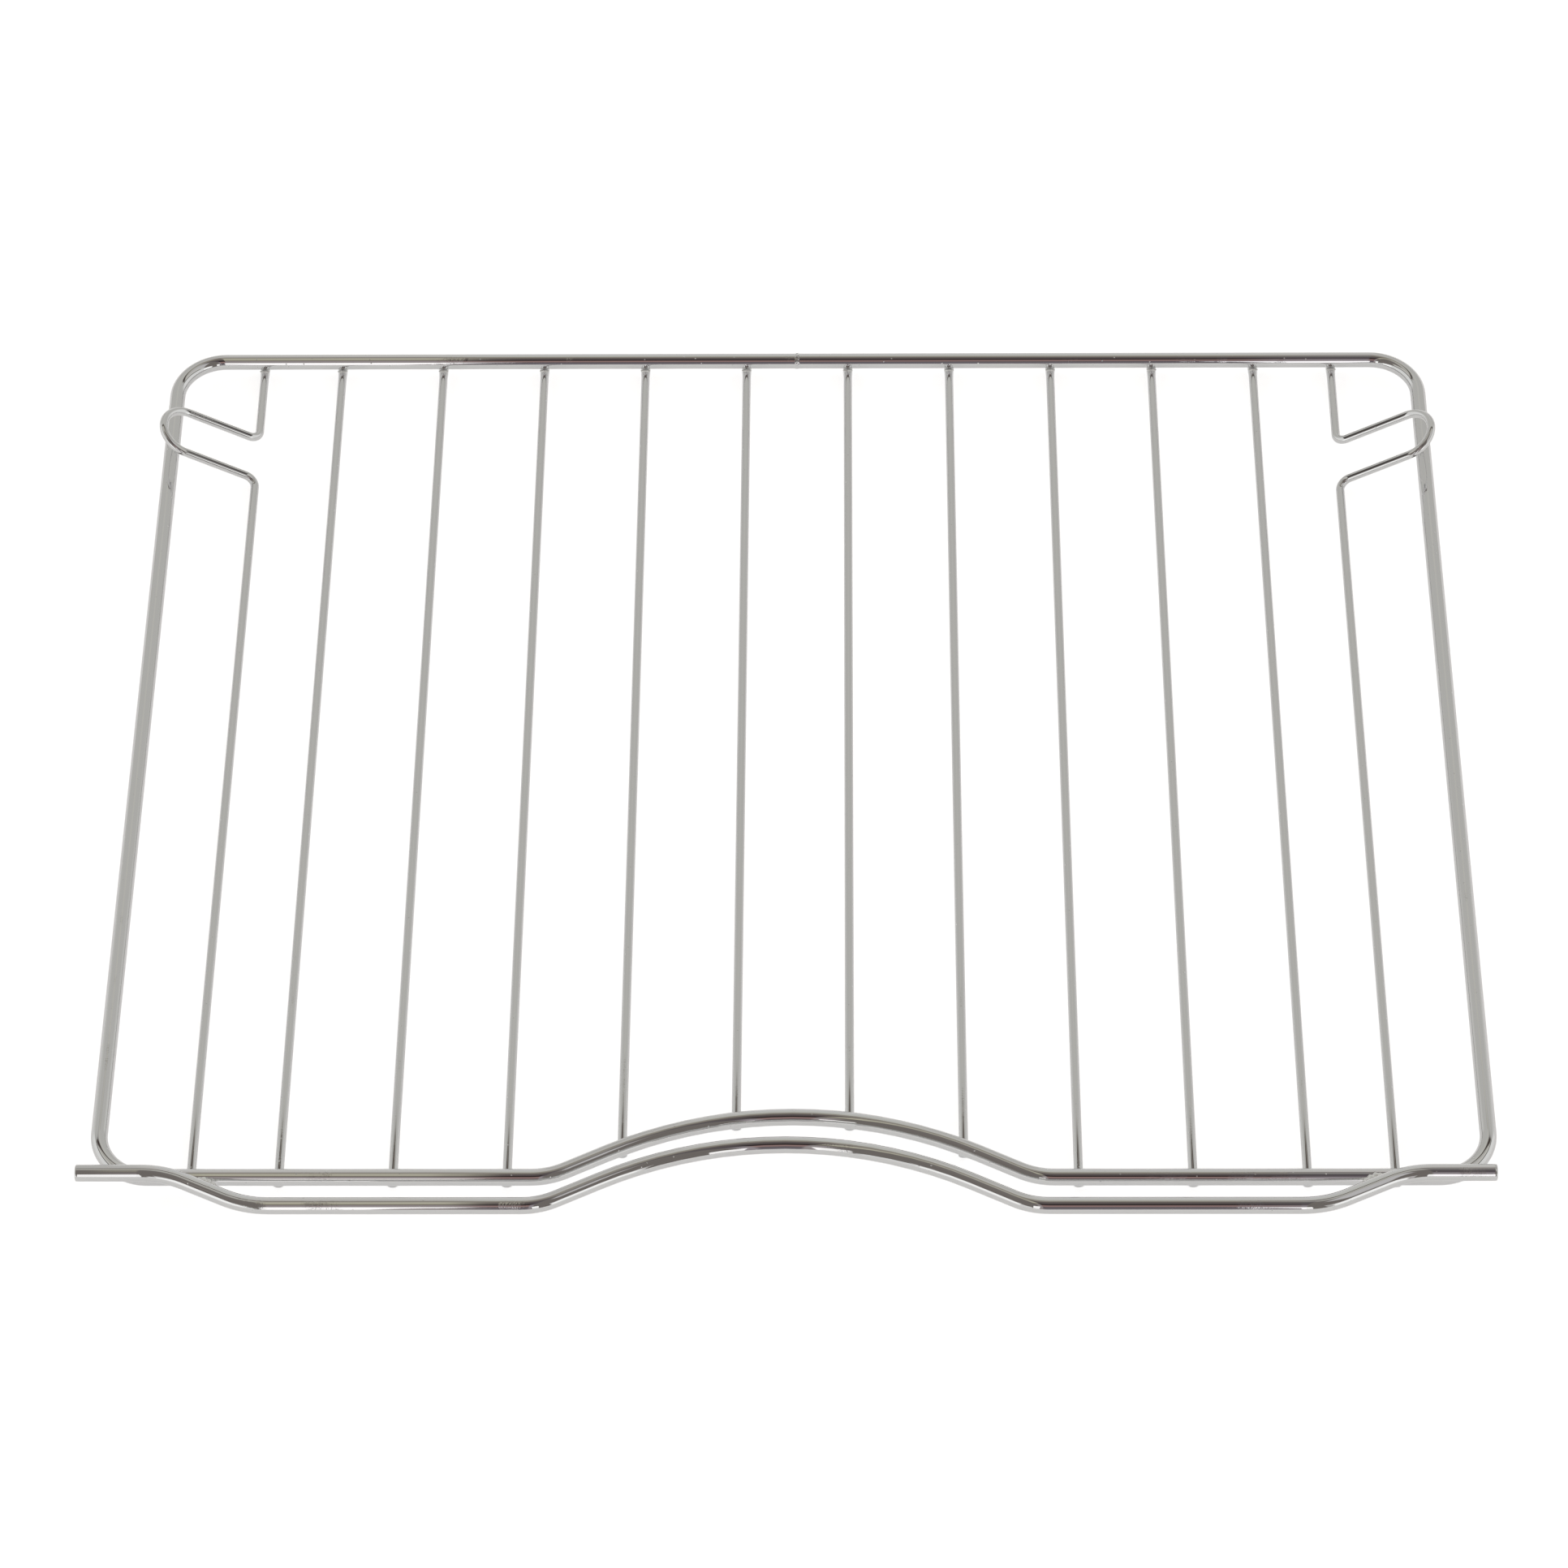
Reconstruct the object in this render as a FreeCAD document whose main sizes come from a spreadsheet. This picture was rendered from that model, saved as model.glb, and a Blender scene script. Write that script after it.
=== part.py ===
import FreeCAD, Part
import math
import os

import Sketcher

# Oven shelf rack: a frame and a front bar of thick round wire, with thin wires welded beneath the frame.
# Millimetres and degrees. +X to the right, +Y to the back of the oven, +Z up.
# The origin is on the surface that the rack lies on, below the middle of its frame and of its depth.

GRID_WIRES = 10

# Each size: its alias in the sheet, its value, and what it measures.
SIZES = (
    ("frame_width", 451.0, "between the axes of the two side rails"),
    ("frame_depth", 357.3, "between the axes of the front rail and the back rail"),
    ("frame_wire_dia", 5.5, "wire of the frame"),
    ("back_corner_radius", 16.8, "bend on the axis at each back corner"),
    ("front_corner_radius", 17.0, "bend on the axis at each front corner"),
    ("arch_rise", 23.4, "front rail to the crown of its arch, and the same in the front bar"),
    ("arch_radius", 135.0, "crown of the arch"),
    ("arch_foot_radius", 25.0, "bend at each foot of the arch"),
    ("arch_angle", 26.5, "slope between the crown and a foot"),
    ("butt_weld_width", 1.8, "bead that closes the frame, along the wire"),
    ("butt_weld_height", 0.3, "that bead above the wire"),
    ("grid_wire_dia", 3.0, "wire of the grid and of the stops"),
    ("wire_overrun", 0.6, "end of a thin wire past the axis of the rail it is welded to"),
    ("weld_setdown", 0.4, "how far two crossed wires sink into each other at their weld"),
    ("side_gap", 30.5, "side rail to stop wire, between axes"),
    ("stop_gap", 28.5, "stop wire to the nearest grid wire, between axes"),
    ("left_loop_inset", 34.7, "back rail to the rear leg of the left stop loop"),
    ("right_loop_inset", 37.1, "the same on the right, where the loop was bent further forward"),
    ("loop_spacing", 18.8, "between the two legs of a stop loop"),
    ("loop_angle", 31.4, "climb of a stop loop"),
    ("loop_bend_radius", 4.0, "bend where a stop wire turns into a leg"),
    ("bar_wire_dia", 5.5, "wire of the front bar"),
    ("bar_forward", 14.3, "front bar ahead of the front rail, between axes"),
    ("bar_end_forward", 1.7, "ends of the front bar ahead of the front rail"),
    ("bar_overhang", 3.3, "end of the front bar past the axis of a side rail"),
    ("bar_shift", -2.3, "front bar off the middle, as it was welded on"),
    ("bar_jog_inset", 41.9, "end of the front bar to the middle of its jog"),
    ("bar_jog_radius", 34.0, "bends of the jog"),
    ("bar_jog_angle", 25.0, "slope of the jog"),
    ("bar_end_chamfer", 0.5, "chamfer round the cut ends of the front bar"),
)

# Places of the rails, the front bar and the thin wires.
FRONT_RAIL_Y = "(-(dims.frame_depth - dims.bar_forward) / 2)"
BACK_RAIL_Y = "((dims.frame_depth + dims.bar_forward) / 2)"
GRID_Z = "(dims.grid_wire_dia / 2)"
FRAME_Z = "(dims.grid_wire_dia - dims.weld_setdown + dims.frame_wire_dia / 2)"
BAR_Z = f"({FRAME_Z} + (dims.frame_wire_dia + dims.bar_wire_dia) / 2 - dims.weld_setdown)"
STOP_X = "(dims.frame_width / 2 - dims.side_gap)"
GRID_PITCH = f"(2 * ({STOP_X} - dims.stop_gap) / {GRID_WIRES - 1})"

# The arch from its middle outwards: a crown, a straight slope and a foot.
CROWN_END = "(dims.arch_radius * sin(dims.arch_angle))"
CROWN_DROP = "(dims.arch_radius * (1 - cos(dims.arch_angle)))"
FOOT_DROP = "(dims.arch_foot_radius * (1 - cos(dims.arch_angle)))"
SLOPE_RUN = f"((dims.arch_rise - {CROWN_DROP} - {FOOT_DROP}) / sin(dims.arch_angle))"
SLOPE_END = f"({CROWN_END} + {SLOPE_RUN} * cos(dims.arch_angle))"
ARCH_END = f"({SLOPE_END} + dims.arch_foot_radius * sin(dims.arch_angle))"

# The jog near each end of the front bar: two equal bends with a short slope between them.
JOG_DEPTH = "(dims.bar_forward - dims.bar_end_forward)"
JOG_BEND_DEPTH = "(dims.bar_jog_radius * (1 - cos(dims.bar_jog_angle)))"
JOG_RUN = f"(({JOG_DEPTH} - 2 * {JOG_BEND_DEPTH}) / sin(dims.bar_jog_angle))"
JOG_HALF = f"(dims.bar_jog_radius * sin(dims.bar_jog_angle) + {JOG_RUN} * cos(dims.bar_jog_angle) / 2)"
BAR_HALF = "(dims.frame_width / 2 + dims.bar_overhang)"

# A stop loop rises from its wire until it is flush with the outer side of the frame.
LOOP_REACH = "((dims.side_gap + (dims.frame_wire_dia - dims.grid_wire_dia) / 2) / cos(dims.loop_angle))"
LOOP_TIP_RADIUS = "(dims.loop_spacing / 2)"

LEFT = 1
RIGHT = -1
QUARTER_TURN = "90"
HALF_TURN = "180"
FULL_TURN = "360"
X_AXIS = FreeCAD.Vector(1, 0, 0)
Y_AXIS = FreeCAD.Vector(0, 1, 0)
Z_AXIS = FreeCAD.Vector(0, 0, 1)

doc = FreeCAD.newDocument("oven_shelf_rack")
dims = doc.addObject("Spreadsheet::Sheet", "dims")


def fill_sheet():
    for row, (alias, value, meaning) in enumerate(SIZES, start=1):
        dims.set(f"A{row}", alias)
        dims.set(f"B{row}", str(value))
        dims.setAlias(f"B{row}", alias)
        dims.set(f"C{row}", meaning)
    doc.recompute()


def size(expression):
    """The present value of an expression of the sheet's sizes."""
    return float(dims.evalExpression(expression))


def place(item, x, y, z):
    """Tie a piece's place to the sheet."""
    item.setExpression("Placement.Base.x", x)
    item.setExpression("Placement.Base.y", y)
    item.setExpression("Placement.Base.z", z)


def own_plane(body, role):
    """One of the body's own origin planes."""
    return next(item for item in body.Origin.OriginFeatures if item.Role == role)


def flat_sketch(body, name, role):
    """An empty sketch on one of the body's own planes."""
    sketch = body.newObject("Sketcher::SketchObject", name)
    sketch.AttachmentSupport = [(own_plane(body, role), "")]
    sketch.MapMode = "FlatFace"
    return sketch


def drive(sketch, name, expression, kind, *target):
    """Give a sketch a dimension that follows the sheet."""
    value = size(expression)
    if kind == "Angle":
        value = math.radians(value)
    index = sketch.addConstraint(Sketcher.Constraint(kind, *target, value))
    sketch.renameConstraint(index, name)
    sketch.setExpression(f"Constraints.{name}", expression)


def add_run(sketch, number, point, heading, length):
    """A straight stretch of a path."""
    end = point + heading * size(length)
    line = sketch.addGeometry(Part.LineSegment(point, end))
    drive(sketch, f"run_{number}", length, "Distance", line)
    return (line, 1), (line, 2), end, heading


def add_bend(sketch, number, point, heading, radius, angle, side):
    """A bend of a path, which leaves the last piece along its own direction."""
    centre = point + Z_AXIS.cross(heading) * size(radius) * side
    turn = FreeCAD.Rotation(Z_AXIS, size(angle) * side)
    start_angle = math.atan2(point.y - centre.y, point.x - centre.x)
    end_angle = start_angle + math.radians(size(angle)) * side
    circle = Part.Circle(centre, Z_AXIS, size(radius))
    arc = sketch.addGeometry(Part.ArcOfCircle(circle, *sorted((start_angle, end_angle))))
    drive(sketch, f"radius_{number}", radius, "Radius", arc)
    drive(sketch, f"turn_{number}", angle, "Angle", arc)
    entry, leave = (1, 2) if side == LEFT else (2, 1)
    return (arc, entry), (arc, leave), centre + turn.multVec(point - centre), turn.multVec(heading)


def lay_path(sketch, heading, steps):
    """Lay runs (length) and bends (radius, angle, side) end to end from the sketch's origin."""
    point = FreeCAD.Vector()
    last_end = None
    for number, step in enumerate(steps, start=1):
        add_step = add_run if len(step) == 1 else add_bend
        start, end, point, heading_after = add_step(sketch, number, point, heading, *step)
        if last_end:
            sketch.addConstraint(Sketcher.Constraint("Tangent", *last_end, *start))
        else:
            sketch.addConstraint(Sketcher.Constraint("Coincident", *start, -1, 1))
            if add_step is add_bend:
                sketch.addConstraint(Sketcher.Constraint("PointOnObject", start[0], 3, -2))
            else:
                way = "Horizontal" if heading.x else "Vertical"
                sketch.addConstraint(Sketcher.Constraint(way, start[0]))
        last_end = end
        heading = heading_after


def bend_wire(name, diameter, section_role, heading, steps):
    """A body of round wire along a path that starts at the body's origin."""
    body = doc.addObject("PartDesign::Body", name)
    path = flat_sketch(body, f"{name}_path", "XY_Plane")
    lay_path(path, heading, steps)
    section = flat_sketch(body, f"{name}_section", section_role)
    circle = section.addGeometry(Part.Circle(FreeCAD.Vector(), Z_AXIS, size(diameter) / 2))
    section.addConstraint(Sketcher.Constraint("Coincident", circle, 3, -1, 1))
    drive(section, "diameter", diameter, "Diameter", circle)
    doc.recompute()
    wire = body.newObject("PartDesign::AdditivePipe", f"{name}_wire")
    wire.Profile = section
    wire.Spine = (path, [f"Edge{number}" for number in range(1, len(steps) + 1)])
    body.Tip = wire
    doc.recompute()
    return body


def mirror_half(body):
    """Make a half wire whole by mirroring it in the body's middle plane."""
    whole = body.newObject("PartDesign::Mirrored", f"{body.Name}_whole")
    whole.TransformMode = "Whole shape"
    whole.MirrorPlane = (own_plane(body, "YZ_Plane"), [""])
    body.Tip = whole
    doc.recompute()


def add_butt_weld(body):
    """A low bead round the wire, at the body's origin, where the ends of the frame meet."""
    half_width = "(dims.butt_weld_width / 2)"
    wire_radius = "(dims.frame_wire_dia / 2)"
    bead_radius = f"(({half_width} ^ 2 + dims.butt_weld_height ^ 2) / (2 * dims.butt_weld_height))"
    left, right = -size(half_width), size(half_width)
    foot = size(wire_radius)
    top = foot + size("dims.butt_weld_height")
    sketch = flat_sketch(body, "butt_weld_section", "XY_Plane")
    corners = [FreeCAD.Vector(x, y) for x, y in ((left, foot), (left, 0), (right, 0), (right, foot))]
    for start, end in zip(corners, corners[1:]):
        sketch.addGeometry(Part.LineSegment(start, end))
    arc = sketch.addGeometry(Part.Arc(corners[-1], FreeCAD.Vector(0, top), corners[0]))
    for first, second in ((0, 1), (1, 2)):
        sketch.addConstraint(Sketcher.Constraint("Coincident", first, 2, second, 1))
    sketch.addConstraint(Sketcher.Constraint("Coincident", 2, 2, arc, 1))
    sketch.addConstraint(Sketcher.Constraint("Coincident", arc, 2, 0, 1))
    sketch.addConstraint(Sketcher.Constraint("Vertical", 0))
    sketch.addConstraint(Sketcher.Constraint("Symmetric", 1, 1, 1, 2, -1, 1))
    sketch.addConstraint(Sketcher.Constraint("Horizontal", 1))
    sketch.addConstraint(Sketcher.Constraint("Vertical", 2))
    drive(sketch, "width", "dims.butt_weld_width", "Distance", 1)
    drive(sketch, "wire_radius", wire_radius, "Distance", 0)
    drive(sketch, "wire_radius_right", wire_radius, "Distance", 2)
    drive(sketch, "bead_radius", bead_radius, "Radius", arc)
    doc.recompute()
    bead = body.newObject("PartDesign::Revolution", "butt_weld")
    bead.Profile = sketch
    bead.ReferenceAxis = (sketch, ["H_Axis"])
    bead.setExpression("Angle", FULL_TURN)
    body.Tip = bead
    doc.recompute()


def chamfer_end(body):
    """Break the sharp edge of the wire end that lies furthest to the right."""
    tip = body.Tip
    edges = tip.Shape.Edges
    furthest = max(range(len(edges)), key=lambda index: edges[index].CenterOfMass.x)
    chamfer = body.newObject("PartDesign::Chamfer", f"{body.Name}_end_chamfer")
    chamfer.Base = (tip, [f"Edge{furthest + 1}"])
    chamfer.setExpression("Size", "dims.bar_end_chamfer")
    body.Tip = chamfer
    doc.recompute()


def saddle(name, stock, rail):
    """A wire with the seat that its weld presses into it where it crosses a rail."""
    seated = doc.addObject("Part::Cut", name)
    seated.Base = stock
    seated.Tool = rail
    return seated


def make_outer_frame():
    """The frame wire, bent from the weld in the middle of the back rail round to the arch at the front."""
    frame = bend_wire("outer_frame", "dims.frame_wire_dia", "YZ_Plane", X_AXIS, (
        ("dims.frame_width / 2 - dims.back_corner_radius",),
        ("dims.back_corner_radius", QUARTER_TURN, RIGHT),
        ("dims.frame_depth - dims.back_corner_radius - dims.front_corner_radius",),
        ("dims.front_corner_radius", QUARTER_TURN, RIGHT),
        (f"dims.frame_width / 2 - dims.front_corner_radius - {ARCH_END}",),
        ("dims.arch_foot_radius", "dims.arch_angle", RIGHT),
        (SLOPE_RUN,),
        ("dims.arch_radius", "dims.arch_angle", LEFT),
    ))
    mirror_half(frame)
    add_butt_weld(frame)
    place(frame, "0", BACK_RAIL_Y, FRAME_Z)
    return frame


def make_front_bar(frame):
    """The bar in front of the frame, bent from the crown of its arch out to a cut end on the front rail."""
    stock = bend_wire("front_bar_stock", "dims.bar_wire_dia", "YZ_Plane", X_AXIS, (
        ("dims.arch_radius", "dims.arch_angle", RIGHT),
        (SLOPE_RUN,),
        ("dims.arch_foot_radius", "dims.arch_angle", LEFT),
        (f"{BAR_HALF} - dims.bar_jog_inset - {JOG_HALF} - {ARCH_END}",),
        ("dims.bar_jog_radius", "dims.bar_jog_angle", LEFT),
        (JOG_RUN,),
        ("dims.bar_jog_radius", "dims.bar_jog_angle", RIGHT),
        (f"dims.bar_jog_inset - {JOG_HALF}",),
    ))
    chamfer_end(stock)
    mirror_half(stock)
    place(stock, "dims.bar_shift", f"{FRONT_RAIL_Y} - dims.bar_forward + dims.arch_rise", BAR_Z)
    return saddle("front_bar", stock, frame)


def arch_set_back(offset):
    """How far the arch stands behind the straight front rail, at an offset from its middle."""
    crown = f"dims.arch_rise - dims.arch_radius + sqrt(dims.arch_radius ^ 2 - {offset} ^ 2)"
    slope = f"dims.arch_rise - {CROWN_DROP} - ({offset} - {CROWN_END}) * tan(dims.arch_angle)"
    foot = f"dims.arch_foot_radius - sqrt(dims.arch_foot_radius ^ 2 - ({ARCH_END} - {offset}) ^ 2)"
    outer = f"({offset} < {ARCH_END} ? {foot} : 0)"
    return f"({offset} < {CROWN_END} ? {crown} : ({offset} < {SLOPE_END} ? {slope} : {outer}))"


def make_grid_wire(number, frame):
    """A straight wire beneath the back rail and the front rail or its arch."""
    name = f"grid_wire_{number:02d}"
    steps_from_middle = number - (GRID_WIRES + 1) / 2
    set_back = arch_set_back(f"({abs(steps_from_middle)} * {GRID_PITCH})")
    front_end = f"{FRONT_RAIL_Y} - dims.wire_overrun + {set_back}"
    stock = doc.addObject("Part::Cylinder", f"{name}_stock")
    stock.Placement.Rotation = FreeCAD.Rotation(Z_AXIS, Y_AXIS)
    stock.setExpression("Radius", "dims.grid_wire_dia / 2")
    stock.setExpression("Height", f"dims.frame_depth + 2 * dims.wire_overrun - {set_back}")
    place(stock, f"{steps_from_middle} * {GRID_PITCH}", front_end, GRID_Z)
    return saddle(name, stock, frame)


def make_stop_wire(name, outwards, loop_inset, frame):
    """A wire like those of the grid, with a loop near its back end that leans out over the side rail."""
    front_leg = f"(dims.frame_depth - {loop_inset} - dims.loop_spacing)"
    leg_run = f"{LOOP_REACH} - {LOOP_TIP_RADIUS} - dims.loop_bend_radius"
    stock = bend_wire(f"{name}_stock", "dims.grid_wire_dia", "XZ_Plane", Y_AXIS, (
        (f"{front_leg} + dims.wire_overrun - dims.loop_bend_radius",),
        ("dims.loop_bend_radius", QUARTER_TURN, outwards),
        (leg_run,),
        (LOOP_TIP_RADIUS, HALF_TURN, -outwards),
        (leg_run,),
        ("dims.loop_bend_radius", QUARTER_TURN, outwards),
        (f"{loop_inset} + dims.wire_overrun - dims.loop_bend_radius",),
    ))
    stock.Placement.Rotation = FreeCAD.Rotation(Y_AXIS * outwards, size("dims.loop_angle"))
    stock.setExpression("Placement.Rotation.Angle", "dims.loop_angle")
    place(stock, f"{-outwards} * {STOP_X}", f"{FRONT_RAIL_Y} - dims.wire_overrun", GRID_Z)
    return saddle(name, stock, frame)


def check(pieces):
    """Stop before anything is written if a feature failed or a piece is not one sound solid."""
    for item in doc.Objects:
        if "Invalid" in item.State or "Error" in item.State:
            raise RuntimeError(f"{item.Label} failed: {item.State}")
    for piece in pieces:
        shape = piece.Shape
        if shape.isNull() or not shape.isValid() or len(shape.Solids) != 1:
            raise RuntimeError(f"{piece.Label} is not one sound solid")


def write(pieces):
    os.makedirs("parts", exist_ok=True)
    for piece in pieces:
        piece.Shape.exportStep(f"parts/{piece.Label}.step")


fill_sheet()
outer_frame = make_outer_frame()
front_bar = make_front_bar(outer_frame)
grid_wires = [make_grid_wire(number, outer_frame) for number in range(1, GRID_WIRES + 1)]
left_stop = make_stop_wire("left_stop_wire", LEFT, "dims.left_loop_inset", outer_frame)
right_stop = make_stop_wire("right_stop_wire", RIGHT, "dims.right_loop_inset", outer_frame)
doc.recompute()

rack = [outer_frame, front_bar, *grid_wires, left_stop, right_stop]
check(rack)
write(rack)
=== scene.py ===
import math

import bmesh
import bpy
from mathutils import Matrix, Vector


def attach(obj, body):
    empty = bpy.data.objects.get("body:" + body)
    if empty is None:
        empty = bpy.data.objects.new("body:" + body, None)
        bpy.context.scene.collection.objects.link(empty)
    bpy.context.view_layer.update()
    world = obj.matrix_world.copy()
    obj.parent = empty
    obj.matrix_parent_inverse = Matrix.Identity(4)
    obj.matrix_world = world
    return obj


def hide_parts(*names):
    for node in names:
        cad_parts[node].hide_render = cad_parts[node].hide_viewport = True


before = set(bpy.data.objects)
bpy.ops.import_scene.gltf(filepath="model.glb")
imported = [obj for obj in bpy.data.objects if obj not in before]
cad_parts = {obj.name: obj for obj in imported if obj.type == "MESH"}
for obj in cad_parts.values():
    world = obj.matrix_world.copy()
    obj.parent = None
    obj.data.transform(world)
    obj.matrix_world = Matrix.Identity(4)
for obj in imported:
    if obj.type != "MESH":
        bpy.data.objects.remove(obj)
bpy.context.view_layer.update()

# Sizes of the rack, as in the part's source.
MM = 0.001
FRAME_WIDTH = 451.0 * MM
FRAME_DEPTH = 357.3 * MM
FRAME_WIRE = 5.5 * MM
BACK_CORNER = 16.8 * MM
FRONT_CORNER = 17.0 * MM
ARCH_RISE = 23.4 * MM
ARCH_RADIUS = 135.0 * MM
ARCH_FOOT = 25.0 * MM
ARCH_ANGLE = math.radians(26.5)
BUTT_WELD_WIDTH = 1.8 * MM
BUTT_WELD_HEIGHT = 0.3 * MM
GRID_WIRES = 10
GRID_WIRE = 3.0 * MM
WIRE_OVERRUN = 0.6 * MM
WELD_SETDOWN = 0.4 * MM
SIDE_GAP = 30.5 * MM
STOP_GAP = 28.5 * MM
LEFT_LOOP_INSET = 34.7 * MM
RIGHT_LOOP_INSET = 37.1 * MM
LOOP_SPACING = 18.8 * MM
LOOP_ANGLE = math.radians(31.4)
LOOP_BEND = 4.0 * MM
BAR_WIRE = 5.5 * MM
BAR_FORWARD = 14.3 * MM
BAR_END_FORWARD = 1.7 * MM
BAR_OVERHANG = 3.3 * MM
BAR_SHIFT = -2.3 * MM
BAR_JOG_INSET = 41.9 * MM
BAR_JOG_RADIUS = 34.0 * MM
BAR_JOG_ANGLE = math.radians(25.0)
BAR_END_ROUND = 0.5 * MM

# Places that follow from those sizes.
FRONT_RAIL_Y = -(FRAME_DEPTH - BAR_FORWARD) / 2
BACK_RAIL_Y = (FRAME_DEPTH + BAR_FORWARD) / 2
GRID_Z = GRID_WIRE / 2
FRAME_Z = GRID_WIRE - WELD_SETDOWN + FRAME_WIRE / 2
BAR_Z = FRAME_Z + (FRAME_WIRE + BAR_WIRE) / 2 - WELD_SETDOWN
STOP_X = FRAME_WIDTH / 2 - SIDE_GAP
GRID_PITCH = 2 * (STOP_X - STOP_GAP) / (GRID_WIRES - 1)
CROWN_END = ARCH_RADIUS * math.sin(ARCH_ANGLE)
CROWN_DROP = ARCH_RADIUS * (1 - math.cos(ARCH_ANGLE))
FOOT_DROP = ARCH_FOOT * (1 - math.cos(ARCH_ANGLE))
SLOPE_RUN = (ARCH_RISE - CROWN_DROP - FOOT_DROP) / math.sin(ARCH_ANGLE)
SLOPE_END = CROWN_END + SLOPE_RUN * math.cos(ARCH_ANGLE)
ARCH_END = SLOPE_END + ARCH_FOOT * math.sin(ARCH_ANGLE)
JOG_DEPTH = BAR_FORWARD - BAR_END_FORWARD
JOG_BEND_DEPTH = BAR_JOG_RADIUS * (1 - math.cos(BAR_JOG_ANGLE))
JOG_RUN = (JOG_DEPTH - 2 * JOG_BEND_DEPTH) / math.sin(BAR_JOG_ANGLE)
JOG_HALF = BAR_JOG_RADIUS * math.sin(BAR_JOG_ANGLE) + JOG_RUN * math.cos(BAR_JOG_ANGLE) / 2
BAR_HALF = FRAME_WIDTH / 2 + BAR_OVERHANG
LOOP_TIP = LOOP_SPACING / 2
LOOP_REACH = (SIDE_GAP + (FRAME_WIRE - GRID_WIRE) / 2) / math.cos(LOOP_ANGLE)

# Small forms that only this script makes: the weld metal, and what welding did to the thin wires.
WIRE_END_ROUND = 0.2 * MM
WELD_REACH = 5.0 * MM
WELD_SPREAD = 0.15
BOW_HEIGHT = 0.55 * MM
BOW_REACH = 30.0 * MM
BUTT_WELD_LUMPS = 9
BUTT_WELD_SLANT = 2
BUTT_WELD_LEAST = 0.1
JOG_WELD_RADIUS = 1.7 * MM
JOG_WELD_RIPPLES = 4
JOG_WELD_SWELL = 0.16
FLASH_FORWARD = 2.45 * MM
FLASH_SINK = 0.1 * MM
FLASH_HALF = 1.8 * MM
FLASH_RADIUS = 0.6 * MM
FLASH_RIPPLES = 2
FLASH_SWELL = 0.12
# The welds where the front bar leaves the rail: each outer and inner end, in millimetres.
JOG_WELDS = (
    ((-191.9, -173.9, 8.3), (-185.0, -178.4, 8.1)),
    ((189.9, -172.4, 8.3), (182.8, -176.8, 8.1)))

# How finely the wires and the weld metal are drawn.
RING_SIDES = 40
BEND_STEP = math.radians(3)
LEAST_BEND_STEPS = 3
RUN_MARGIN = 1.0 * MM
BUTT_WELD_RINGS = 12
WELD_RINGS = 12
BOW_PARTS = 8
BEAD_SIDES = 20
RIPPLE_PARTS = 8
MERGE = 0.002 * MM
WELD_RUNS = (((WELD_REACH + WIRE_OVERRUN) / WELD_RINGS,),) * WELD_RINGS
BOW_RUNS = (((BOW_REACH - WELD_REACH) / BOW_PARTS,),) * BOW_PARTS

TURN_LEFT, TURN_RIGHT = 1, -1
QUARTER_TURN, HALF_TURN = math.radians(90), math.radians(180)
X_AXIS, Y_AXIS, Z_AXIS = Vector((1, 0, 0)), Vector((0, 1, 0)), Vector((0, 0, 1))
WELD_SLOT = 1


def linear(code):
    """The linear colour of an sRGB hex value."""
    parts = [int(code[place:place + 2], 16) / 255 for place in (1, 3, 5)]
    return [part / 12.92 if part <= 0.04045 else ((part + 0.055) / 1.055) ** 2.4
            for part in parts] + [1.0]


def add_node(tree, kind, links=None, **settings):
    """A node with its settings, and with its inputs linked from sockets or set to values."""
    node = tree.nodes.new(kind)
    for name, value in settings.items():
        setattr(node, name, value)
    for name, value in (links or {}).items():
        socket = node.inputs[name]
        if isinstance(value, bpy.types.NodeSocket):
            tree.links.new(value, socket)
        else:
            socket.default_value = value
    return node


def new_material(name):
    """An empty material and its tree."""
    material = bpy.data.materials.new(name)
    material.use_nodes = True
    material.node_tree.nodes.clear()
    return material, material.node_tree


def ramp(tree, factor, stops):
    """A colour ramp of (place, hex colour) stops."""
    node = add_node(tree, "ShaderNodeValToRGB", {"Fac": factor})
    elements = node.color_ramp.elements
    while len(elements) < len(stops):
        elements.new(1.0)
    for element, (place, code) in zip(elements, stops):
        element.position = place
        element.color = linear(code)
    return node.outputs["Color"]


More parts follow.
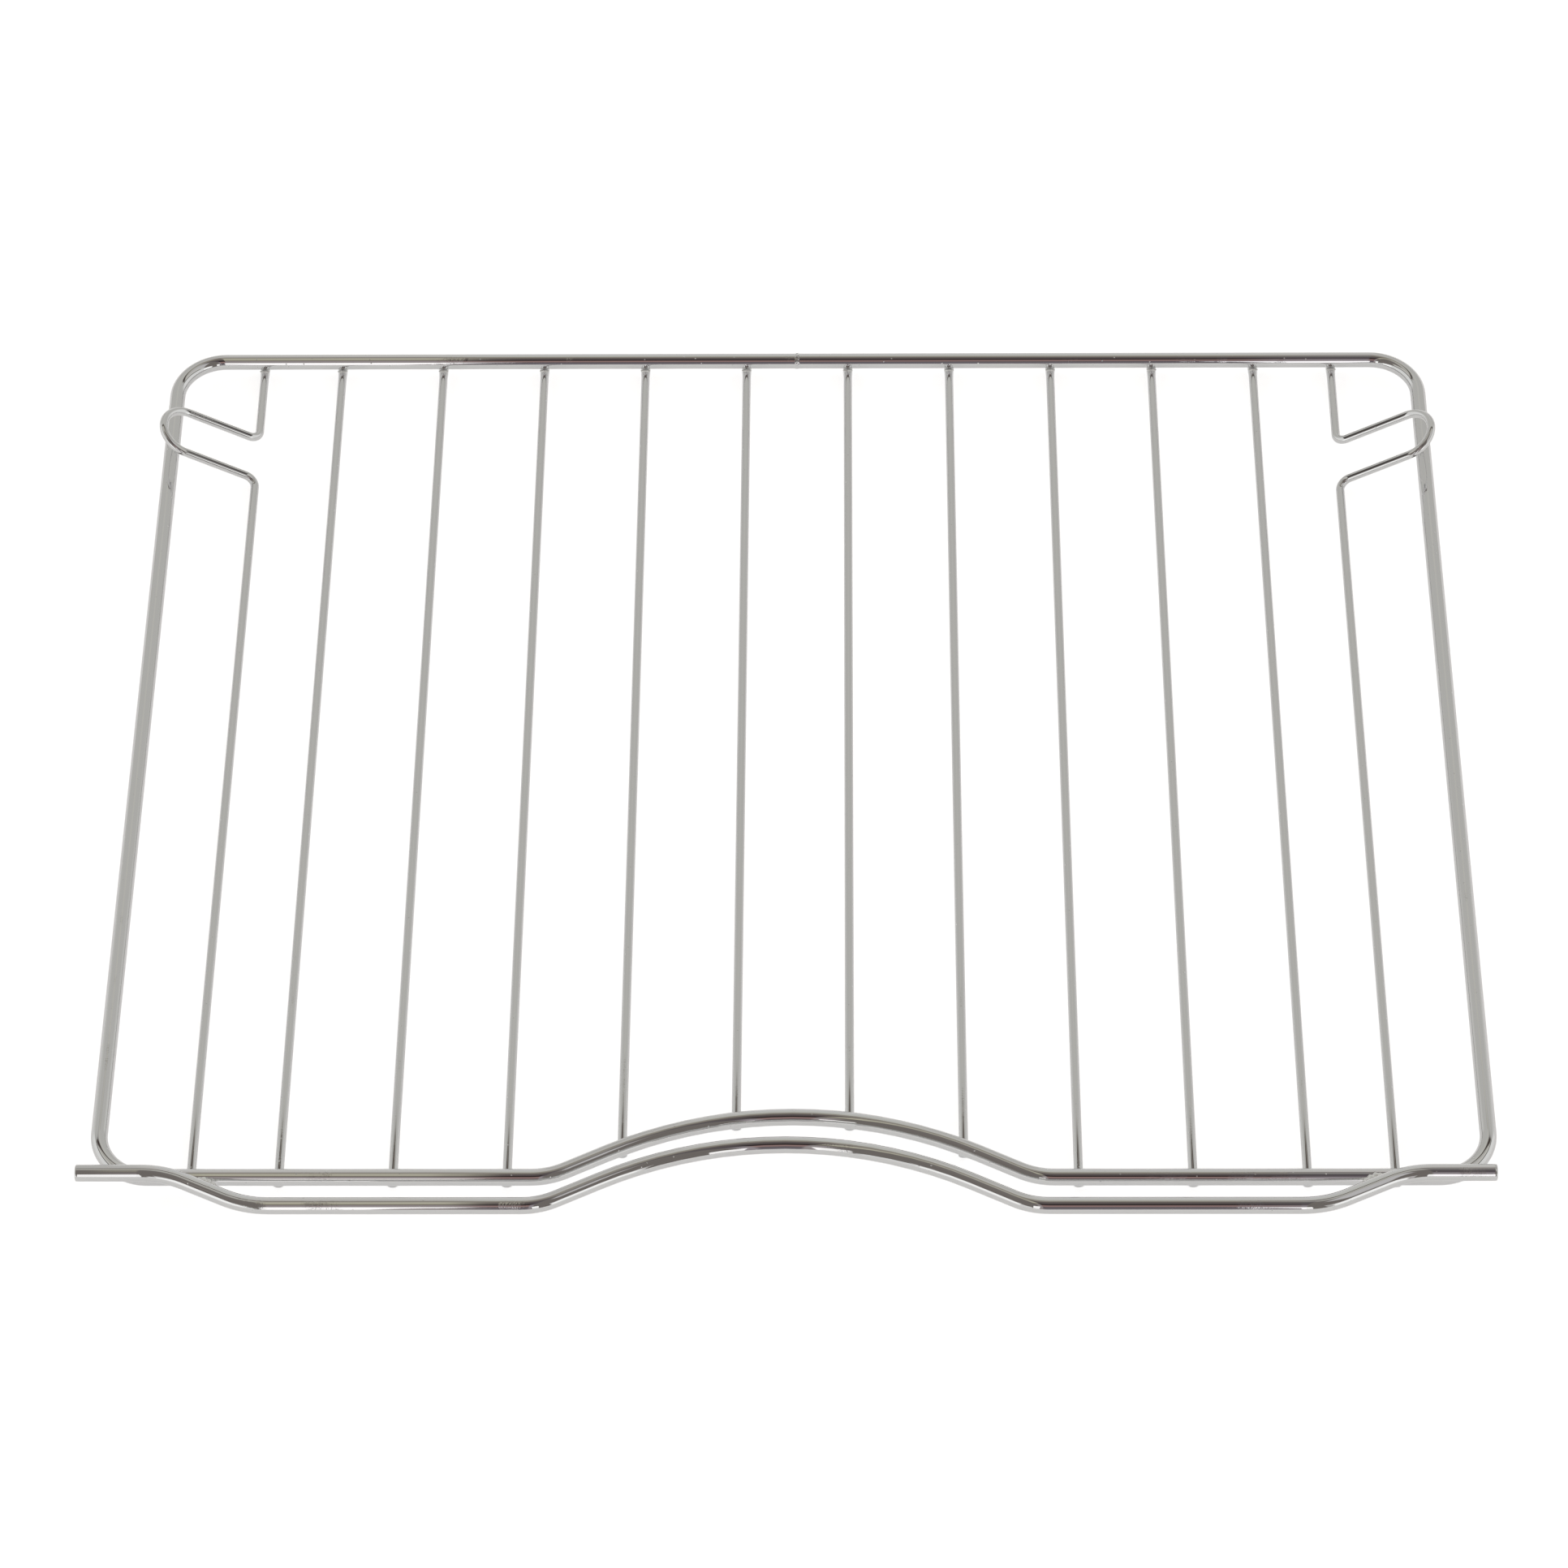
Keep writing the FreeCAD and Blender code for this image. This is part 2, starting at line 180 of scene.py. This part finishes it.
def chrome_plated_wire():
    """Bright chrome plating on drawn steel wire.

    It is a neutral mirror, with the drawing's faint waves along it, a few scuffed patches, and the
    small grains under the plating, which catch the light. Real scuffs and grains are finer. They
    are drawn as coarse as they need to be to show.
    """
    wave_length, wave_height, wave_strength = 30 * MM, 0.4 * MM, 0.2
    scuff_length, scuff_height, scuff_strength = 0.5 * MM, 0.05 * MM, 0.5
    grain_spacing, grain_height, grain_strength = 3.0 * MM, 0.12 * MM, 0.8
    grain_size = 0.09
    patch_length = 16 * MM
    patch_rim, patch_core = 0.58, 0.72
    bright_roughness, scuffed_roughness = 0.03, 0.09
    material, tree = new_material("chrome_plated_drawn_steel")
    place = add_node(tree, "ShaderNodeTexCoord").outputs["Object"]
    wave = add_node(tree, "ShaderNodeTexNoise", {
        "Vector": place, "Scale": 1 / wave_length, "Detail": 1.0})
    patch = add_node(tree, "ShaderNodeTexNoise", {
        "Vector": place, "Scale": 1 / patch_length, "Detail": 2.0})
    scuff = add_node(tree, "ShaderNodeTexNoise", {
        "Vector": place, "Scale": 1 / scuff_length, "Detail": 2.0})
    cells = add_node(tree, "ShaderNodeTexVoronoi", {
        "Vector": place, "Scale": 1 / grain_spacing, "Randomness": 1.0})
    grains = add_node(tree, "ShaderNodeMapRange", {
        "Value": cells.outputs["Distance"], "From Min": grain_size, "From Max": 0.0})
    scuffed = add_node(tree, "ShaderNodeMapRange", {
        "Value": patch.outputs["Fac"], "From Min": patch_rim, "From Max": patch_core})
    roughness = add_node(tree, "ShaderNodeMapRange", {
        "Value": scuffed.outputs["Result"],
        "To Min": bright_roughness, "To Max": scuffed_roughness})
    scuffs = add_node(tree, "ShaderNodeMath", {
        0: scuff.outputs["Fac"], 1: scuffed.outputs["Result"]}, operation="MULTIPLY")
    waves = add_node(tree, "ShaderNodeBump", {
        "Height": wave.outputs["Fac"], "Strength": wave_strength, "Distance": wave_height})
    scratched = add_node(tree, "ShaderNodeBump", {
        "Height": scuffs.outputs["Value"], "Strength": scuff_strength, "Distance": scuff_height,
        "Normal": waves.outputs["Normal"]})
    grained = add_node(tree, "ShaderNodeBump", {
        "Height": grains.outputs["Result"], "Strength": grain_strength, "Distance": grain_height,
        "Normal": scratched.outputs["Normal"]})
    shader = add_node(tree, "ShaderNodeBsdfPrincipled", {
        "Base Color": linear("#DADADA"), "Metallic": 1.0,
        "Roughness": roughness.outputs["Result"], "Normal": grained.outputs["Normal"]})
    add_node(tree, "ShaderNodeOutputMaterial", {"Surface": shader.outputs["BSDF"]})
    return material


def chrome_plated_weld():
    """Weld metal under the same plating: lumpy, so it scatters what it mirrors. Its base colour is
    painted lighter than the wire's chrome, as painted light against the shade where it sits between
    the wires.
    """
    lump_length, lump_height, lump_strength = 0.7 * MM, 0.25 * MM, 0.8
    material, tree = new_material("chrome_plated_weld_metal_painted_lighter")
    place = add_node(tree, "ShaderNodeTexCoord").outputs["Object"]
    lumps = add_node(tree, "ShaderNodeTexNoise", {
        "Vector": place, "Scale": 1 / lump_length, "Detail": 2.0})
    bump = add_node(tree, "ShaderNodeBump", {
        "Height": lumps.outputs["Fac"], "Strength": lump_strength, "Distance": lump_height})
    # The base colour is lighter than the wire's #DADADA: painted light that lifts the weld metal
    # out of the shade between rail and wire.
    shader = add_node(tree, "ShaderNodeBsdfPrincipled", {
        "Base Color": linear("#F0F0EE"), "Metallic": 1.0, "Roughness": 0.5,
        "Normal": bump.outputs["Normal"]})
    add_node(tree, "ShaderNodeOutputMaterial", {"Surface": shader.outputs["BSDF"]})
    return material


CHROME = chrome_plated_wire()
WELD = chrome_plated_weld()


def ring_of(parts):
    """The edges and the points of the newest ring of a wire."""
    points = [part for part in parts if isinstance(part, bmesh.types.BMVert)]
    known = set(points)
    edges = [part for part in parts
             if isinstance(part, bmesh.types.BMEdge) and known.issuperset(part.verts)]
    return edges, points


def draw_run(mesh, ring, move):
    """Draw the wire's ring straight on.

    A ring close to each end keeps the run between them shaded as straight.
    """
    margin = min(RUN_MARGIN, move.length / 4)
    for length in (margin, move.length - 2 * margin, margin):
        ring = ring_of(bmesh.ops.extrude_edge_only(mesh, edges=ring[0])["geom"])
        bmesh.ops.translate(mesh, verts=ring[1], vec=move.normalized() * length)
    return ring


def draw_bend(mesh, ring, centre, axis, angle):
    """Draw the wire's ring round a bend."""
    steps = max(LEAST_BEND_STEPS, round(angle / BEND_STEP))
    made = bmesh.ops.spin(
        mesh, geom=ring[0] + ring[1], cent=centre, axis=axis, angle=angle, steps=steps)
    return ring_of(made["geom_last"])


def lay_wire(mesh, start, heading, up, diameter, steps):
    """Draw a round wire through its runs (length) and bends (radius, angle, side).

    Gives its two open rings.
    """
    turn = Matrix((up.cross(heading), up, heading)).transposed().to_4x4()
    points = bmesh.ops.create_circle(
        mesh, segments=RING_SIDES, radius=diameter / 2,
        matrix=Matrix.Translation(start) @ turn)["verts"]
    first = (list({edge for point in points for edge in point.link_edges}), points)
    ring, place = first, Vector(start)
    for step in steps:
        if len(step) == 1:
            move = heading * step[0]
            ring = draw_run(mesh, ring, move)
            place = place + move
        else:
            radius, angle, side = step
            centre = place + up.cross(heading) * radius * side
            ring = draw_bend(mesh, ring, centre, up * side, angle)
            spin = Matrix.Rotation(angle * side, 3, up)
            place = centre + spin @ (place - centre)
            heading = spin @ heading
    return first, ring


def close_ends(mesh, rings, rounding):
    """Cap the cut ends of a wire and take off their sharp edges."""
    for edges, _ in rings:
        bmesh.ops.edgeloop_fill(mesh, edges=edges)
        bmesh.ops.bevel(
            mesh, geom=edges, offset=rounding, offset_type="OFFSET", segments=3, profile=0.5,
            affect="EDGES", material=-1)


def add_piece(mesh, node):
    """The finished wire in place of its solid. Only its end caps are shaded flat."""
    bmesh.ops.remove_doubles(mesh, verts=mesh.verts, dist=MERGE)
    bmesh.ops.recalc_face_normals(mesh, faces=mesh.faces)
    for face in mesh.faces:
        face.smooth = len(face.verts) <= 4
    name = f"{node}_chromed"
    data = bpy.data.meshes.new(name)
    mesh.to_mesh(data)
    mesh.free()
    data.materials.append(CHROME)
    data.materials.append(WELD)
    piece = bpy.data.objects.new(name, data)
    bpy.context.scene.collection.objects.link(piece)
    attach(piece, "root")
    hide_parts(node)


def there_and_back(steps):
    """The steps of one half of a wire, and then of its other half, which mirrors the first."""
    return steps + tuple(reversed(steps))


def make_outer_frame():
    """The frame wire, all the way round from its butt weld in the middle of the back rail."""
    bead_half = BUTT_WELD_WIDTH / 2
    bead = ((bead_half / BUTT_WELD_RINGS,),) * BUTT_WELD_RINGS
    half = bead + (
        (FRAME_WIDTH / 2 - BACK_CORNER - bead_half,),
        (BACK_CORNER, QUARTER_TURN, TURN_RIGHT),
        (FRAME_DEPTH - BACK_CORNER - FRONT_CORNER,),
        (FRONT_CORNER, QUARTER_TURN, TURN_RIGHT),
        (FRAME_WIDTH / 2 - FRONT_CORNER - ARCH_END,),
        (ARCH_FOOT, ARCH_ANGLE, TURN_RIGHT),
        (SLOPE_RUN,),
        (ARCH_RADIUS, ARCH_ANGLE, TURN_LEFT),
    )
    middle = Vector((0, BACK_RAIL_Y, FRAME_Z))
    mesh = bmesh.new()
    lay_wire(mesh, middle, X_AXIS, Z_AXIS, FRAME_WIRE, there_and_back(half))
    bmesh.ops.remove_doubles(mesh, verts=mesh.verts, dist=MERGE)
    for point in mesh.verts:
        along = point.co.x / bead_half
        if point.co.y > 0 and abs(along) < 1:
            out = (point.co - middle) * Vector((0, 1, 1))
            wave = math.sin(
                BUTT_WELD_LUMPS * math.atan2(out.z, out.y) + BUTT_WELD_SLANT * along)
            lump = BUTT_WELD_LEAST + (1 - BUTT_WELD_LEAST) * max(0.0, wave) ** 2
            point.co += out.normalized() * BUTT_WELD_HEIGHT * (1 - along ** 2) ** 2 * lump
    add_piece(mesh, "outer_frame")


def weld_bead(mesh, start, end, radius, ripples, swell):
    """A bead of weld metal between two points, with ripples across it."""
    way = end - start
    turn = way.to_track_quat("Z", "Y").to_matrix().to_4x4()
    size = Matrix.Diagonal((radius, radius, way.length / 2, 1))
    points = bmesh.ops.create_uvsphere(
        mesh, u_segments=BEAD_SIDES, v_segments=RIPPLE_PARTS * ripples, radius=1.0)["verts"]
    for point in points:
        width = 1 + swell * math.cos(math.pi * ripples * point.co.z)
        point.co.x *= width
        point.co.y *= width
    for face in {face for point in points for face in point.link_faces}:
        face.material_index = WELD_SLOT
    place = Matrix.Translation((start + end) / 2) @ turn @ size
    bmesh.ops.transform(mesh, matrix=place, verts=points)


def make_front_bar():
    """The bar ahead of the frame, from its left end, with a weld where each jog leaves the rail."""
    half = (
        (BAR_JOG_INSET - JOG_HALF,),
        (BAR_JOG_RADIUS, BAR_JOG_ANGLE, TURN_RIGHT),
        (JOG_RUN,),
        (BAR_JOG_RADIUS, BAR_JOG_ANGLE, TURN_LEFT),
        (BAR_HALF - BAR_JOG_INSET - JOG_HALF - ARCH_END,),
        (ARCH_FOOT, ARCH_ANGLE, TURN_LEFT),
        (SLOPE_RUN,),
        (ARCH_RADIUS, ARCH_ANGLE, TURN_RIGHT),
    )
    start = Vector((BAR_SHIFT - BAR_HALF, FRONT_RAIL_Y - BAR_END_FORWARD, BAR_Z))
    mesh = bmesh.new()
    ends = lay_wire(mesh, start, X_AXIS, Z_AXIS, BAR_WIRE, there_and_back(half))
    close_ends(mesh, ends, BAR_END_ROUND)
    for outer, inner in JOG_WELDS:
        weld_bead(mesh, Vector(outer) * MM, Vector(inner) * MM,
                  JOG_WELD_RADIUS, JOG_WELD_RIPPLES, JOG_WELD_SWELL)
    add_piece(mesh, "front_bar")


def arch_set_back(offset):
    """How far the arch stands behind the straight front rail, at an offset from its middle."""
    if offset < CROWN_END:
        return ARCH_RISE - ARCH_RADIUS + math.sqrt(ARCH_RADIUS ** 2 - offset ** 2)
    if offset < SLOPE_END:
        return ARCH_RISE - CROWN_DROP - (offset - CROWN_END) * math.tan(ARCH_ANGLE)
    if offset < ARCH_END:
        return ARCH_FOOT - math.sqrt(ARCH_FOOT ** 2 - (ARCH_END - offset) ** 2)
    return 0.0


def press_welds(mesh, x, crossings):
    """Spread a thin wire sideways where the weld has pressed it into a rail."""
    for point in mesh.verts:
        for crossing in crossings:
            along = (point.co.y - crossing) / WELD_REACH
            if abs(along) < 1 and abs(point.co.x - x) < GRID_WIRE:
                point.co.x += (point.co.x - x) * WELD_SPREAD * (1 - along ** 2) ** 2


def bow_up(mesh, front, length):
    """Bow a thin wire up a little behind its front weld, which has pulled its end down."""
    for point in mesh.verts:
        along = point.co.y - front
        if 0 < along < length:
            rise = 1 - max(0.0, 1 - along / BOW_REACH) ** 2
            point.co.z += BOW_HEIGHT * rise * (1 - along / length)


def add_weld_flash(mesh, x):
    """The weld metal that was squeezed out in front of the back rail."""
    middle = Vector((x, BACK_RAIL_Y - FLASH_FORWARD, GRID_WIRE - FLASH_SINK))
    reach = X_AXIS * FLASH_HALF
    weld_bead(mesh, middle - reach, middle + reach, FLASH_RADIUS, FLASH_RIPPLES, FLASH_SWELL)


def make_thin_wire(name, x, front, up, bow_length, steps):
    """A thin wire welded beneath the front and back rails, with its own steps between them."""
    mesh = bmesh.new()
    ends = lay_wire(mesh, (x, front - WIRE_OVERRUN, GRID_Z), Y_AXIS, up, GRID_WIRE,
                    WELD_RUNS + BOW_RUNS + steps + WELD_RUNS)
    close_ends(mesh, ends, WIRE_END_ROUND)
    press_welds(mesh, x, (front, BACK_RAIL_Y))
    bow_up(mesh, front, bow_length)
    add_weld_flash(mesh, x)
    add_piece(mesh, name)


def make_grid_wire(number):
    """A straight wire, whose front end is beneath the front rail or its arch."""
    x = (number - (GRID_WIRES + 1) / 2) * GRID_PITCH
    front = FRONT_RAIL_Y + arch_set_back(abs(x))
    length = BACK_RAIL_Y - front
    make_thin_wire(f"grid_wire_{number:02d}", x, front, Z_AXIS, length,
                   ((length - BOW_REACH - WELD_REACH,),))


def make_stop_wire(name, side, loop_inset):
    """A wire with a loop near its back end that leans out over the side rail.

    The side is -1 on the left and 1 on the right.
    """
    front_leg = FRAME_DEPTH - loop_inset - LOOP_SPACING
    leg = LOOP_REACH - LOOP_TIP - LOOP_BEND
    steps = (
        (front_leg - BOW_REACH - LOOP_BEND,),
        (LOOP_BEND, QUARTER_TURN, -side),
        (leg,),
        (LOOP_TIP, HALF_TURN, side),
        (leg,),
        (LOOP_BEND, QUARTER_TURN, -side),
        (loop_inset - LOOP_BEND - WELD_REACH,),
    )
    up = Matrix.Rotation(-side * LOOP_ANGLE, 3, "Y") @ Z_AXIS
    make_thin_wire(name, side * STOP_X, FRONT_RAIL_Y, up, front_leg - LOOP_BEND, steps)


make_outer_frame()
make_front_bar()
for wire in range(1, GRID_WIRES + 1):
    make_grid_wire(wire)
make_stop_wire("left_stop_wire", -1, LEFT_LOOP_INSET)
make_stop_wire("right_stop_wire", 1, RIGHT_LOOP_INSET)
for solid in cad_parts.values():
    solid.data.materials.clear()
    solid.data.materials.append(CHROME)


# What the chrome mirrors straight ahead, above and behind, by the angle in degrees from straight
# up towards the camera: a light sweep with a dark edge behind, a dim ceiling that is lit over its
# left part, and the dark end of the room in front, with a warm lit strip across its middle.
SURROUND_LEFT = (
    (-90, "#DCDCD8"), (-34, "#CCC8C4"), (-33, "#504844"), (-29, "#504844"), (-25, "#B4B0A4"),
    (12, "#C8C4B0"), (18, "#7C746C"), (24, "#847C74"), (32, "#A8A0A0"), (90, "#A8A0A0"))
SURROUND_MIDDLE = (
    (-90, "#DCDCDC"), (-34, "#CCCCC4"), (-32, "#A09A90"), (-19, "#A09A90"), (-10, "#746C68"),
    (14, "#5C5454"), (19, "#383030"), (30, "#383030"), (37, "#A08480"), (49, "#A08480"),
    (56, "#6C6468"), (90, "#847E84"))
SURROUND_RIGHT = (
    (-90, "#DCDCD8"), (-34, "#CCC8C4"), (-33, "#504844"), (-29, "#504844"), (-25, "#A8A4A0"),
    (-18, "#A8A4A0"), (-8, "#706C6C"), (24, "#5C5458"), (42, "#A49CA0"), (90, "#A49CA0"))
# What it mirrors to the sides, by the angle in degrees above the level: white walls with a dark
# rail along them.
SIDE_WALLS = (
    (0, "#F4F4F2"), (36, "#F0F0EE"), (37.5, "#565250"), (42, "#565250"), (44, "#D8D6D0"),
    (60, "#D0CEC6"))
# What it mirrors above those walls, by the same angle as straight ahead: the sweep, its dark edge
# and the dim ceiling.
UPPER_SIDES = (
    (-90, "#C8C7C3"), (-34, "#C8C7C3"), (-33, "#504844"), (-29, "#504844"), (-26, "#C4C2BA"),
    (-13, "#C0BEB8"), (-5, "#807A76"), (90, "#807A76"))
LIT_CEILING, FRONT_ROOM = "#CECCCC", "#7C7672"
# Where one of those parts of the room gives way to another: by how far to the side a direction
# points, from -1 to 1,
LEFT_TO_MIDDLE = (-0.08, -0.066)
MIDDLE_TO_RIGHT = (0.074, 0.094)
AHEAD_TO_SIDES = (0.125, 0.145)
DIM_TO_LIT_CEILING = (0.22, 0.28)
# by its angle in degrees round from the front,
CEILING_TO_FRONT_ROOM = (54, 48)
LOW_TO_HIGH_WALLS = (58, 64)
FRONT_ROOM_TO_RIGHT_WALL = (28, 31)
FRONT_ROOM_TO_LEFT_WALL = (-14, -17)
WALLS_TO_BACK = (116, 130)
# and by its angle in degrees above the level.
LOW_WALLS_TO_CEILING = (36, 38)
HIGH_WALLS_TO_CEILING = (56, 59)


def set_world():
    """The room round the rack, as the chrome mirrors it. The camera itself sees plain white."""
    world = bpy.data.worlds.new("studio_surround")
    world.use_nodes = True
    tree = world.node_tree
    tree.nodes.clear()
    way = add_node(tree, "ShaderNodeTexCoord").outputs["Generated"]
    parts = add_node(tree, "ShaderNodeSeparateXYZ", {"Vector": way}).outputs
    front = add_node(
        tree, "ShaderNodeMath", {0: parts["Y"], 1: -1.0}, operation="MULTIPLY").outputs["Value"]
    sideways = add_node(
        tree, "ShaderNodeMath", {0: parts["X"]}, operation="ABSOLUTE").outputs["Value"]
    tilt = add_node(
        tree, "ShaderNodeMath", {0: front, 1: parts["Z"]}, operation="ARCTAN2").outputs["Value"]
    turn = add_node(
        tree, "ShaderNodeMath", {0: parts["X"], 1: front}, operation="ARCTAN2").outputs["Value"]
    aside = add_node(tree, "ShaderNodeMath", {0: turn}, operation="ABSOLUTE").outputs["Value"]
    rise = add_node(
        tree, "ShaderNodeMath", {0: parts["Z"], 1: sideways}, operation="ARCTAN2").outputs["Value"]
    tilt_share = add_node(tree, "ShaderNodeMapRange", {
        "Value": tilt, "From Min": -math.pi, "From Max": math.pi}).outputs["Result"]
    rise_share = add_node(tree, "ShaderNodeMapRange", {
        "Value": rise, "From Max": math.pi / 2}).outputs["Result"]
    left, middle, right, upper = (
        ramp(tree, tilt_share, [(0.5 + degrees / 360, code) for degrees, code in stops])
        for stops in (SURROUND_LEFT, SURROUND_MIDDLE, SURROUND_RIGHT, UPPER_SIDES))
    walls = ramp(tree, rise_share, [(degrees / 90, code) for degrees, code in SIDE_WALLS])

    def lay_over(base, over, value, limits):
        """One colour laid over another where the value goes from the first to the second limit."""
        share = add_node(tree, "ShaderNodeMapRange", {
            "Value": value, "From Min": limits[0], "From Max": limits[1]})
        return add_node(tree, "ShaderNodeMixRGB", {
            "Fac": share.outputs["Result"], "Color1": base, "Color2": over}).outputs["Color"]

    def turn_over(base, over, angle, degrees):
        """One colour laid over another by an angle."""
        return lay_over(base, over, angle, [math.radians(limit) for limit in degrees])

    front_room = linear(FRONT_ROOM)
    ceiling = lay_over(upper, linear(LIT_CEILING), parts["X"], DIM_TO_LIT_CEILING)
    ceiling = turn_over(ceiling, front_room, aside, CEILING_TO_FRONT_ROOM)
    low_walls = turn_over(walls, ceiling, rise, LOW_WALLS_TO_CEILING)
    high_walls = turn_over(walls, ceiling, rise, HIGH_WALLS_TO_CEILING)
    room = turn_over(low_walls, high_walls, aside, LOW_TO_HIGH_WALLS)
    sides = turn_over(front_room, room, turn, FRONT_ROOM_TO_RIGHT_WALL)
    sides = turn_over(sides, room, turn, FRONT_ROOM_TO_LEFT_WALL)
    sides = turn_over(sides, upper, aside, WALLS_TO_BACK)
    colour = lay_over(left, middle, parts["X"], LEFT_TO_MIDDLE)
    colour = lay_over(colour, right, parts["X"], MIDDLE_TO_RIGHT)
    colour = lay_over(colour, sides, sideways, AHEAD_TO_SIDES)
    surround = add_node(tree, "ShaderNodeBackground", {"Color": colour, "Strength": 1.0})
    white = add_node(tree, "ShaderNodeBackground", {
        "Color": linear("#FFFFFF"), "Strength": 1.0})
    camera_ray = add_node(tree, "ShaderNodeLightPath").outputs["Is Camera Ray"]
    shown = add_node(tree, "ShaderNodeMixShader", {
        0: camera_ray, 1: surround.outputs[0], 2: white.outputs[0]})
    add_node(tree, "ShaderNodeOutputWorld", {"Surface": shown.outputs[0]})
    bpy.context.scene.world = world


def matt_white_floor():
    """Matt white board, which glows a little for the camera and in the chrome."""
    seen_glow, mirrored_glow = 0.66, 0.36
    material, tree = new_material("white_floor")
    rays = add_node(tree, "ShaderNodeLightPath").outputs
    mirrored_ray = add_node(tree, "ShaderNodeMath", {
        0: rays["Is Glossy Ray"], 1: rays["Is Transmission Ray"]}, operation="MAXIMUM")
    mirrored = add_node(tree, "ShaderNodeMath", {
        0: mirrored_ray.outputs["Value"], 1: mirrored_glow}, operation="MULTIPLY")
    strength = add_node(tree, "ShaderNodeMath", {
        0: rays["Is Camera Ray"], 1: seen_glow, 2: mirrored.outputs["Value"]},
        operation="MULTIPLY_ADD")
    matt = add_node(tree, "ShaderNodeBsdfDiffuse", {"Color": linear("#F4F4F4")})
    glow = add_node(tree, "ShaderNodeEmission", {
        "Color": linear("#FFFFFF"), "Strength": strength.outputs["Value"]})
    both = add_node(tree, "ShaderNodeAddShader", {0: matt.outputs[0], 1: glow.outputs[0]})
    add_node(tree, "ShaderNodeOutputMaterial", {"Surface": both.outputs[0]})
    return material


def make_floor():
    """A white floor that shows the rack's soft shadow, just clear of the wires."""
    reach = 6.0
    clearance = 0.1 * MM
    mesh = bmesh.new()
    bmesh.ops.create_grid(
        mesh, x_segments=1, y_segments=1, size=reach,
        matrix=Matrix.Translation((0, 0, -clearance)))
    data = bpy.data.meshes.new("floor")
    mesh.to_mesh(data)
    mesh.free()
    data.materials.append(matt_white_floor())
    floor = bpy.data.objects.new("floor", data)
    bpy.context.scene.collection.objects.link(floor)


# The lamps: name, place, width and height in metres, and power in watts.
SOFTBOXES = (
    ("left_strip_softbox", (-0.7, -4.0, 1.31), (0.48, 2.58), 4.1),
    ("right_strip_softbox", (0.76, -4.0, 1.17), (0.5, 2.06), 3.4),
    ("left_side_softbox", (-1.55, -2.0, 0.66), (1.1, 1.2), 1.4),
    ("right_side_softbox", (1.55, -2.0, 0.66), (1.1, 1.2), 1.4))
# The camera, as fitted to the rails and wires in the photo. Its lens and sensor are in millimetres.
CAMERA_PLACE = (0.015954, -1.087971, 1.384703)
CAMERA_PAN = math.radians(1.044)
CAMERA_LIFT = math.radians(38.0)
CAMERA_ROLL = math.radians(-0.8995)
CAMERA_LENS = 117.46
CAMERA_SENSOR = 36.0
CAMERA_NEAR = 0.01


def add_softbox(name, place, size, power):
    """A soft rectangular lamp that faces the rack."""
    lamp = bpy.data.lights.new(name, "AREA")
    lamp.shape = "RECTANGLE"
    lamp.size, lamp.size_y = size
    lamp.energy = power
    holder = bpy.data.objects.new(name, lamp)
    holder.location = place
    holder.rotation_euler = (-Vector(place)).to_track_quat("-Z", "Y").to_euler()
    bpy.context.scene.collection.objects.link(holder)


def add_camera():
    """The photo's view from the front and above."""
    lens = bpy.data.cameras.new("photo_view")
    lens.lens = CAMERA_LENS
    lens.sensor_width = CAMERA_SENSOR
    lens.clip_start = CAMERA_NEAR
    pan = Matrix.Rotation(CAMERA_PAN, 4, "Z")
    lift = Matrix.Rotation(CAMERA_LIFT, 4, "X")
    roll = Matrix.Rotation(CAMERA_ROLL, 4, "Z")
    camera = bpy.data.objects.new("photo_view", lens)
    camera.matrix_world = Matrix.Translation(CAMERA_PLACE) @ (pan @ lift @ roll)
    bpy.context.scene.collection.objects.link(camera)
    bpy.context.scene.camera = camera


set_world()
make_floor()
for softbox in SOFTBOXES:
    add_softbox(*softbox)
add_camera()
bpy.context.scene.view_settings.view_transform = "Standard"
